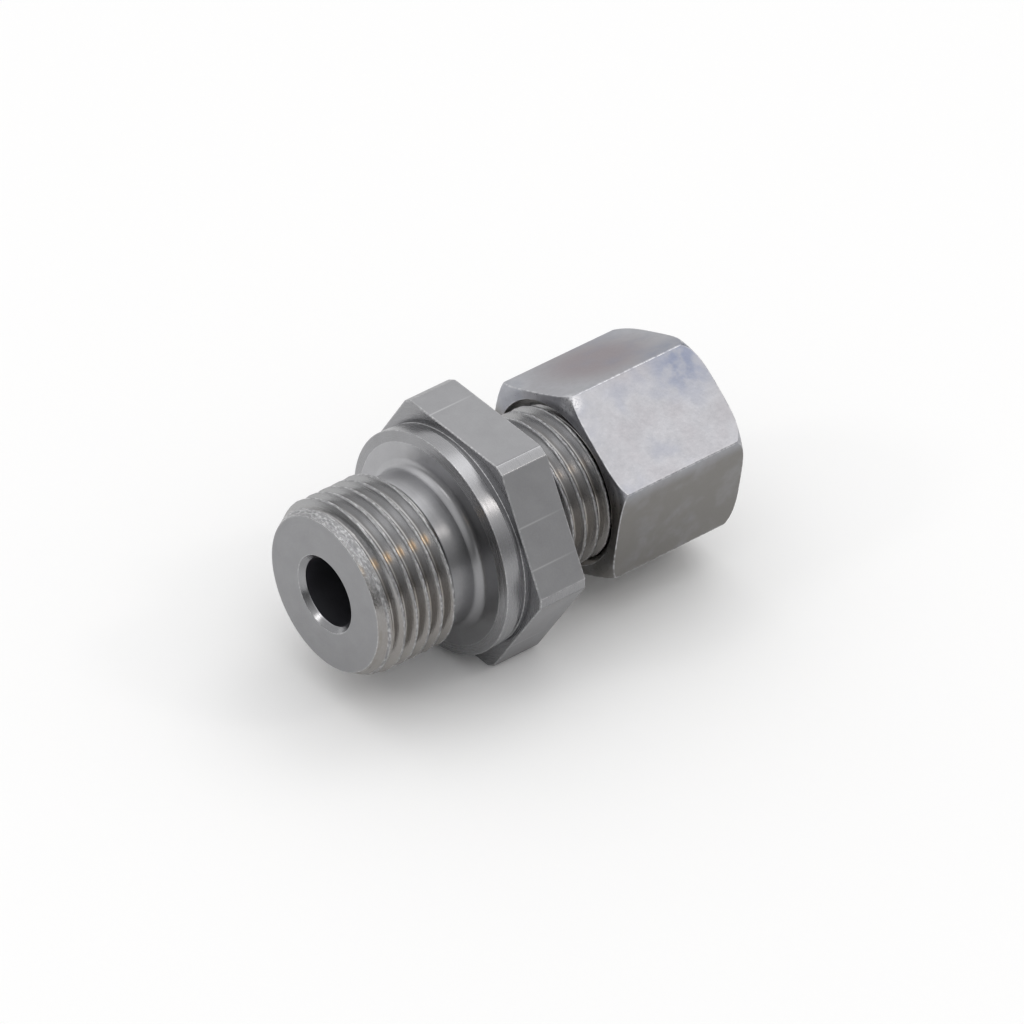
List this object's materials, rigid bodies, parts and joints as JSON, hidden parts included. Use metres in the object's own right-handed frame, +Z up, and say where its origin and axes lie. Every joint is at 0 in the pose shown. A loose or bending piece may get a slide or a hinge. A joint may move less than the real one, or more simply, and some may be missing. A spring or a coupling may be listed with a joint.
{
  "type": "straight male stud fitting",
  "caption": "Straight steel fitting: a threaded stud with a collar and hexagon, and a threaded tube end with cone seat, cutting ring and union nut.",
  "frame": {"origin": "on the fitting's axis, in the plane of the sealing face on the collar", "axes": "+X along the axis from the stud to the tube end, +Z up and square to one flat of the body's hexagon, the stud pointing to -X"},
  "size_m": [0.0436, 0.0272, 0.024],
  "materials": {
    "body_steel": "turned steel, matt on the stud's face and bright on the collar's rim",
    "ring_steel": "dark hardened steel, turned",
    "nut_zinc": "bright zinc plate with a faint coloured passivation"
  },
  "bodies": {
    "body": {"stud_body": "body_steel"},
    "ring": {"cutting_ring": "ring_steel"},
    "nut": {"union_nut": "nut_zinc"}
  },
  "joints": [
    {"name": "nut_travel", "type": "slide", "parent": "body", "child": "ring", "axis": [1, 0, 0], "range_m": [0, 0.0045]},
    {"name": "nut_turn", "type": "hinge", "parent": "ring", "child": "nut", "pos_m": [0.0233, 0, 0], "axis": [1, 0, 0], "range_deg": [0, 1080]}
  ],
  "couplings": [
    {"joint": "nut_travel", "follows": "nut_turn", "m_per_rad": 0.00023873}
  ]
}
